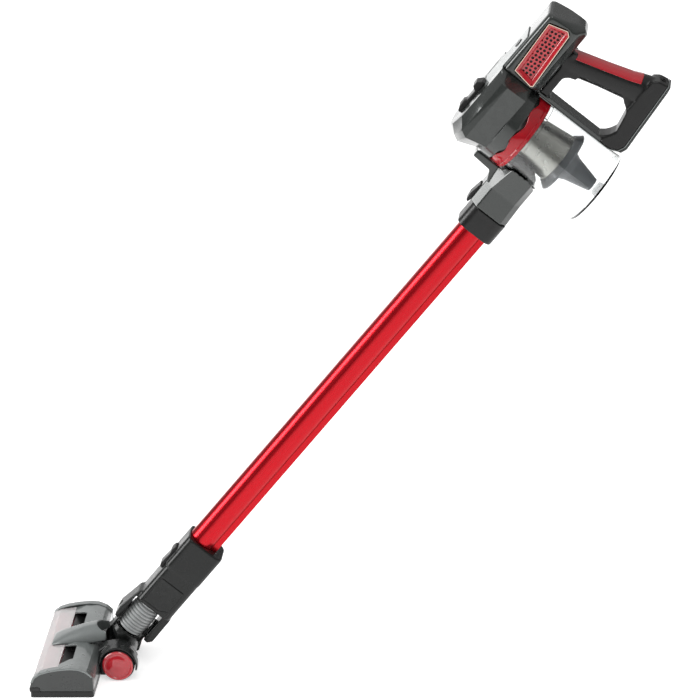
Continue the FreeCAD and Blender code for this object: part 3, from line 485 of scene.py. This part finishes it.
# Stations down the grip: middle's distance and height, half its depth, half its width.
GRIP_STATIONS = (
    (252.5, 58.0, 17.5, 14.5),
    (253.0, 48.0, 16.5, 14.6),
    (257.0, 35.0, 16.5, 14.8),
    (266.0, 5.0, 16.8, 15.0),
    (275.5, -28.0, 18.5, 15.0),
    (279.5, -42.0, 21.0, 15.0),
    (282.0, -56.0, 24.0, 15.0),
)
# Side views of the fillets that round the loop's corners, and of the grip's root: s, z.
GRIP_ROOT = ((200.6, 54), (268, 54), (270, 48), (240, 42.5), (200.6, 42))
LOWER_CORNER = ((232, -54), (245, -50.5), (252, -45), (257, -37), (264, -31), (264, -56))
FAR_CORNER = ((200, -38), (203.5, -41), (207, -46), (213, -50.5), (221, -54), (221, -58), (200, -58))
UPPER_CORNER = ((226, 44), (233, 41.5), (238, 36.5), (241, 28), (250, 28), (250, 44))
GRIP_LEAN = math.radians(17)
GRIP_SIDES = 40


def grip_section(station, grow=0.0, turns=None):
    """Points round the grip at one station, squarer than an oval."""
    distance, height, depth, half = station
    places = []
    for turn in turns or [2 * math.pi * side / GRIP_SIDES for side in range(GRIP_SIDES)]:
        across = math.copysign(abs(math.sin(turn)) ** 0.75, math.sin(turn)) * (half + grow)
        back = math.copysign(abs(math.cos(turn)) ** 0.75, math.cos(turn)) * (depth + grow)
        along = distance + back * math.cos(GRIP_LEAN)
        places.append(wand_point(across, along, height + back * math.sin(GRIP_LEAN)))
    return places


def handle():
    """Grip and base flowing into each other, with the red strip let into the grip's back."""
    root = slab("root", GRIP_ROOT, 14)
    lower_corner = slab("corner", LOWER_CORNER, 13.5)
    far_corner = slab("corner", FAR_CORNER, 15)
    upper_corner = slab("corner", UPPER_CORNER, 13.5)
    grip = skinned("grip", [grip_section(station) for station in GRIP_STATIONS])
    loop = merged("handle_loop", [root, grip, copied("handle_base"), lower_corner, far_corner, upper_corner])
    flow(loop, 1.0, 20)
    dress(loop, "grip_shell")
    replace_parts(loop, "handle_base")
    turns = [math.radians(angle) for angle in range(-64, 65, 8)]
    sections = []
    for station in GRIP_STATIONS[1:6]:
        outer = grip_section(station, 0.35, turns)
        inner = grip_section(station, -1.2, list(reversed(turns)))
        sections.append(outer + inner)
    strip = skinned("grip_strip", sections)
    flow(strip, 0.5, 6)
    dress(strip, "grip_insert")


handle()


# ---------------------------------------------------------------- cyclone

RING_RADIUS = 54.5


def wavy_ring():
    """Translucent ring whose top edge waves with its finger grips."""
    low, top = 30.4, 47.4
    profile = [
        (RING_RADIUS - 4.0, low),
        (RING_RADIUS - 0.6, low),
        (RING_RADIUS, low + 0.8),
        (RING_RADIUS, low + 4.0),
        (RING_RADIUS - 0.8, low + 5.0),
        (RING_RADIUS - 0.8, top - 1.5),
        (RING_RADIUS - 1.4, top),
        (RING_RADIUS - 3.4, top),
        (RING_RADIUS - 4.0, top - 1.0),
    ]

    def spot(radius, turn, height):
        lift = 2.3 * math.cos(8 * turn) if height > low + 6 else 0.0
        return cyclone_spot(radius, turn, height + lift)

    obj = lathe("lock_ring_wavy", profile, spot, 192)
    smooth(obj)
    dress(obj, "red_lock_ring")


def steel_mesh():
    """Perforated steel shroud with its flange."""
    profile = [
        (27.8, 45.8), (46.4, 45.8), (46.4, 43.4), (29.0, 43.4),
        (29.0, 24.0), (34.0, -22.0), (32.8, -22.0), (27.8, 24.0),
    ]
    obj = lathe("mesh_shroud", profile, cyclone_spot, 96)
    wrap_coordinates(obj, profile, 96, 1.5)
    smooth(obj)
    dress(obj, "mesh_filter")


wavy_ring()
steel_mesh()


# ---------------------------------------------------------------- exhaust grilles

GRILLE_WINDOW = ((204, 71), (206, 68.3), (287, 74.8), (291.5, 80), (284, 105), (208.5, 99.5))
# Rings of the sloping wall and of the line round it: how far inside the window, and x.
WALL_RINGS = ((0.5, 33.2), (1.5, 32.9), (5.5, 29.6), (6.0, 28.9))
LINE_RINGS = ((-0.3, 32.6), (-0.1, 33.5), (0.5, 33.5), (0.7, 32.8))


def inset(points, distance):
    """A convex outline moved inwards by a distance."""
    count = len(points)
    centre = [sum(point[axis] for point in points) / count for axis in (0, 1)]
    lines = []
    for index in range(count):
        (s0, z0), (s1, z1) = points[index], points[(index + 1) % count]
        length = math.hypot(s1 - s0, z1 - z0)
        across, up = (z0 - z1) / length, (s1 - s0) / length
        if across * (centre[0] - s0) + up * (centre[1] - z0) < 0:
            across, up = -across, -up
        lines.append((across, up, across * s0 + up * z0 + distance))
    moved = []
    for index in range(count):
        a0, b0, c0 = lines[index - 1]
        a1, b1, c1 = lines[index]
        cross = a0 * b1 - a1 * b0
        moved.append(((c0 * b1 - c1 * b0) / cross, (a0 * c1 - a1 * c0) / cross))
    return moved


def window_frame(name, rings, side, thickness):
    """A skin that runs through rings of the grille window's outline; each ring is (inset, x)."""
    count = len(GRILLE_WINDOW)
    points = [wand_point(side * x, s, z) for depth, x in rings for s, z in inset(GRILLE_WINDOW, depth)]
    faces = []
    for ring in range(len(rings) - 1):
        for corner in range(count):
            after = (corner + 1) % count
            low, high = ring * count, (ring + 1) * count
            faces.append((low + corner, low + after, high + after, high + corner))
    mesh = bpy.data.meshes.new(name)
    mesh.from_pydata(points, [], faces)
    obj = link(name, mesh)
    wall = obj.modifiers.new("wall", "SOLIDIFY")
    wall.thickness = thickness * MM
    wall.offset = 0
    smooth(obj, 25.0)
    return obj


def grille_dress(side, side_name):
    """Sloping red wall down to the perforated floor, and the thin champagne line round it."""
    wall = window_frame("grille_wall_" + side_name, WALL_RINGS, side, 0.4)
    dress(wall, "grille_" + side_name, stands_for=False)
    line = window_frame("grille_line_" + side_name, LINE_RINGS, side, 0.3)
    dress(line, "grille_trims", stands_for=False)
    return line


def painted_shade_pad(side, side_name):
    """Black sheet behind a grille: a painted shade standing in for the dark inside of the exhaust box seen through
    the grille's holes.
    """
    outline = [wand_point(side * 26.4, s, z) for s, z in inset(GRILLE_WINDOW, 1.0)]
    mesh = bpy.data.meshes.new("painted_shade_pad_" + side_name)
    mesh.from_pydata(outline, [], [tuple(range(len(outline)))])
    pad = link("painted_shade_pad_" + side_name, mesh)
    wall = pad.modifiers.new("wall", "SOLIDIFY")
    wall.thickness = 1.0 * MM
    wall.offset = 0
    dress(pad, "grille_" + side_name, stands_for=False)
    # Painted shade: the black rubber colour stands for the unlit inside of the exhaust box.
    pad.data.materials[0] = MATERIALS["soft_rubber"]


for side, side_name in ((-1, "left"), (1, "right")):
    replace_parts(grille_dress(side, side_name), "grille_trims")
    painted_shade_pad(side, side_name)


# ---------------------------------------------------------------- floor head

# Stations down the spine: forward, half width, foot height, crest height.
SPINE_STATIONS = (
    (24.5, 20.0, 34.6, 36.6),
    (21.0, 21.0, 35.2, 39.5),
    (13.0, 22.0, 36.6, 44.0),
    (0.0, 22.5, 37.2, 49.5),
    (-16.0, 23.0, 38.2, 55.0),
    (-34.0, 23.0, 39.6, 59.4),
    (-50.0, 22.6, 43.0, 60.9),
)
SPINE_SIDES = 28
NOTCH_HALF = 17
NOTCH_STEPS = 16


# Side view of an end cap's upper outline, from the front to the rear: forward, up.
CAP_ARCH = (
    (43, 14.2), (41, 21.5), (37, 28.8), (29, 34.5), (18, 38), (4, 40.5),
    (-12, 42), (-24, 41), (-34, 36.8), (-39, 32.4), (-42, 29.2), (-42, 14.2),
)


def cap_band(name, side):
    """Silver band over an end cap, with a lip round the cap's face. The lip is silver trim; the silver across the
    cap's top is partly a painted highlight, a light grey standing in for the reflection on it.
    """
    outer, lip, inner = inset(CAP_ARCH, -0.3), inset(CAP_ARCH, 2.4), inset(CAP_ARCH, 0.7)
    near, far = side * 109.4, side * 99.4
    face = side * 108.7
    sections = [
        [
            head_point(far, *outer[spot]),
            head_point(near, *outer[spot]),
            head_point(near, *lip[spot]),
            head_point(face, *lip[spot]),
            head_point(face, *inner[spot]),
            head_point(far, *inner[spot]),
        ]
        for spot in range(1, len(CAP_ARCH) - 1)
    ]
    obj = skinned(name, sections)
    flow(obj, 0.35, 4)
    # Partly painted highlight: the top cover's light silver is laid over the cap's top.
    dress(obj, "head_top_cover", stands_for=False)


def spine_section(forward, half, foot, crest):
    """Arch across the spine, from its left foot to its right foot."""
    places = []
    for side in range(SPINE_SIDES + 1):
        across = -math.cos(math.pi * side / SPINE_SIDES)
        rise = max(0.0, 1 - abs(across) ** 2.6) ** 0.62
        places.append(head_point(half * across, forward, foot + (crest - foot) * rise))
    return places


def carved(obj, cutter):
    """Cuts one closed shape out of another."""
    cut = obj.modifiers.new("cut", "BOOLEAN")
    cut.object = cutter
    cut.solver = "EXACT"
    shape = bpy.data.meshes.new_from_object(obj.evaluated_get(bpy.context.evaluated_depsgraph_get()))
    obj.modifiers.remove(cut)
    obj.data = shape
    bpy.data.objects.remove(cutter)


def spine():
    """Smooth bridge from the window back to the elbow, with a round-ended notch for the neck."""
    obj = skinned("spine_bridge", [spine_section(*station) for station in SPINE_STATIONS])
    levels = []
    for level in (25, 75):
        outline = [head_point(NOTCH_HALF, -60, level)]
        for step in range(NOTCH_STEPS + 1):
            turn = math.pi * step / NOTCH_STEPS
            outline.append(head_point(NOTCH_HALF * math.cos(turn), -50 + 14 * math.sin(turn), level))
        outline.append(head_point(-NOTCH_HALF, -60, level))
        levels.append(outline)
    carved(obj, skinned("notch", levels))
    flow(obj, 0.8, 12)
    dress(obj, "spine_cover")


cap_band("cap_band_left", -1)
cap_band("cap_band_right", 1)
spine()


# ---------------------------------------------------------------- neck hose

def bellows():
    """Ribbed hose at the neck's swivel, fuller in its middle."""
    start, end, ribs = 692.3, 741.0, 10
    per_rib = 8
    steps = ribs * per_rib
    profile = []
    for step in range(steps + 1):
        share = step / steps
        swell = 16.6 + 2.6 * math.sin(math.pi * share)
        rib = 2.6 * abs(math.sin(math.pi * ribs * share)) ** 0.6
        profile.append((swell - 2.2 + rib, start + (end - start) * share))
    for step in range(steps, -1, -per_rib // 2):
        profile.append((14.6, start + (end - start) * step / steps))
    obj = lathe("hose_bellows", profile, hose_spot, 72)
    smooth(obj, 60.0)
    obj.data.materials.append(MATERIALS["hose_silver"])
    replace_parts(obj, "flexible_hose")
    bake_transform(obj)


bellows()


# ---------------------------------------------------------------- brush and wheels

def bristle_rows():
    """Four twisted rows of soft bristles on the brush's sleeve."""
    random.seed(7)
    low, high = -85.5, 91.5
    tufts = 118
    points = []
    faces = []
    for row in range(4):
        for tuft in range(tufts):
            x = low + (high - low) * (tuft + 0.5) / tufts
            turn = math.pi / 2 * row + 1.9 * (x - low) / (high - low)
            for strand in range(5):
                side = (strand - 2) * 0.045 + random.uniform(-0.02, 0.02)
                lean = random.uniform(-0.7, 0.7)
                tip = 15.45 - random.uniform(0.0, 0.5)
                base = len(points)
                points.append(brush_spot(13.6, turn + side - 0.02, x - 0.35))
                points.append(brush_spot(13.6, turn + side + 0.02, x + 0.35))
                points.append(brush_spot(tip, turn + side * 1.5, x + lean))
                faces.append((base, base + 1, base + 2))
    profile = [(11.1, low), (11.1, high), (13.9, high), (13.9, low)]
    sleeve = lathe("brush_sleeve", profile, brush_spot, 48)
    smooth(sleeve)
    dress(sleeve, "brush_bristles")
    mesh = bpy.data.meshes.new("brush_tufts")
    mesh.from_pydata(points, [], faces)
    tufts_obj = link("brush_tufts", mesh)
    dress(tufts_obj, "brush_bristles", stands_for=False)


def wheel_hub(name, node, side):
    """Red hub with a raised rim and a dished face."""
    profile = [
        (3.1, 45.0), (18.1, 45.0), (18.1, 57.2), (20.4, 57.2), (20.4, 58.0),
        (19.6, 58.9), (17.8, 59.1), (17.0, 58.4), (14.4, 58.3), (13.2, 58.9),
        (9.0, 59.8), (4.0, 60.4), (0.2, 60.6), (0.2, 57.4), (3.1, 57.4),
    ]
    obj = lathe(name, [(radius, x * side) for radius, x in profile], wheel_spot, 64)
    smooth(obj)
    dress(obj, node)


bristle_rows()
wheel_hub("hub_disc_left", "wheel_hub_left", -1)
wheel_hub("hub_disc_right", "wheel_hub_right", 1)


# ---------------------------------------------------------------- floor, light and camera

def floor():
    mesh = bpy.data.meshes.new("floor")
    work = bmesh.new()
    bmesh.ops.create_grid(work, x_segments=1, y_segments=1, size=14.0)
    work.to_mesh(mesh)
    work.free()
    obj = link("floor", mesh)
    shader = Shader("floor")
    shader.set(Base_Color=(0.93, 0.93, 0.93, 1), Roughness=0.7)
    shader.set(Emission_Color=(1, 1, 1, 1), Emission_Strength=0.6)
    obj.data.materials.append(shader.material)


def softbox(name, place, target, size, power):
    data = bpy.data.lights.new(name, "AREA")
    data.shape = "RECTANGLE"
    data.size, data.size_y = size
    data.energy = power
    obj = bpy.data.objects.new(name, data)
    bpy.context.scene.collection.objects.link(obj)
    obj.location = place
    obj.rotation_euler = (Vector(target) - Vector(place)).to_track_quat("-Z", "Y").to_euler()


def camera():
    """Seen from the user's left, a little from behind and above, with a slight roll."""
    azimuth, elevation, roll = (math.radians(angle) for angle in (-84.0, 21.5, 2.6))
    centre = Vector((0, -0.36635, 0.4465))
    away = Vector((
        math.sin(azimuth) * math.cos(elevation),
        -math.cos(azimuth) * math.cos(elevation),
        math.sin(elevation),
    ))
    level = Vector((math.cos(azimuth), math.sin(azimuth), 0))
    upright = away.cross(level)
    right = level * math.cos(roll) - upright * math.sin(roll)
    up = level * math.sin(roll) + upright * math.cos(roll)
    data = bpy.data.cameras.new("camera")
    data.lens = 296.7
    data.sensor_width = 36.0
    data.clip_end = 60.0
    obj = bpy.data.objects.new("camera", data)
    bpy.context.scene.collection.objects.link(obj)
    place = centre + away * 7.5
    obj.matrix_world = Matrix((
        (right.x, up.x, away.x, place.x),
        (right.y, up.y, away.y, place.y),
        (right.z, up.z, away.z, place.z),
        (0, 0, 0, 1),
    ))
    bpy.context.scene.camera = obj


def studio():
    """A sky that is bright overhead and dark at the horizon, and three softboxes."""
    world = bpy.data.worlds.new("studio")
    bpy.context.scene.world = world
    world.use_nodes = True
    nodes, links = world.node_tree.nodes, world.node_tree.links
    split = nodes.new("ShaderNodeSeparateXYZ")
    links.new(nodes.new("ShaderNodeTexCoord").outputs["Generated"], split.inputs["Vector"])
    ramp = nodes.new("ShaderNodeValToRGB")
    links.new(split.outputs["Z"], ramp.inputs["Fac"])
    ramp.color_ramp.elements[0].position = 0.0
    ramp.color_ramp.elements[0].color = (0.12, 0.12, 0.12, 1)
    ramp.color_ramp.elements[1].position = 0.85
    ramp.color_ramp.elements[1].color = (1, 1, 1, 1)
    background = nodes["Background"]
    links.new(ramp.outputs["Color"], background.inputs["Color"])
    background.inputs["Strength"].default_value = 0.7
    middle = (0, -0.4, 0.5)
    softbox("key", (-0.42, 2.6, 1.55), middle, (1.2, 2.4), 80)
    softbox("overhead", (-1.6, -0.6, 3.2), middle, (0.8, 2.0), 22)
    softbox("rim", (3.2, 0.5, 1.0), middle, (3.4, 1.6), 13)
    bpy.context.scene.view_settings.view_transform = "Standard"


floor()
studio()
camera()
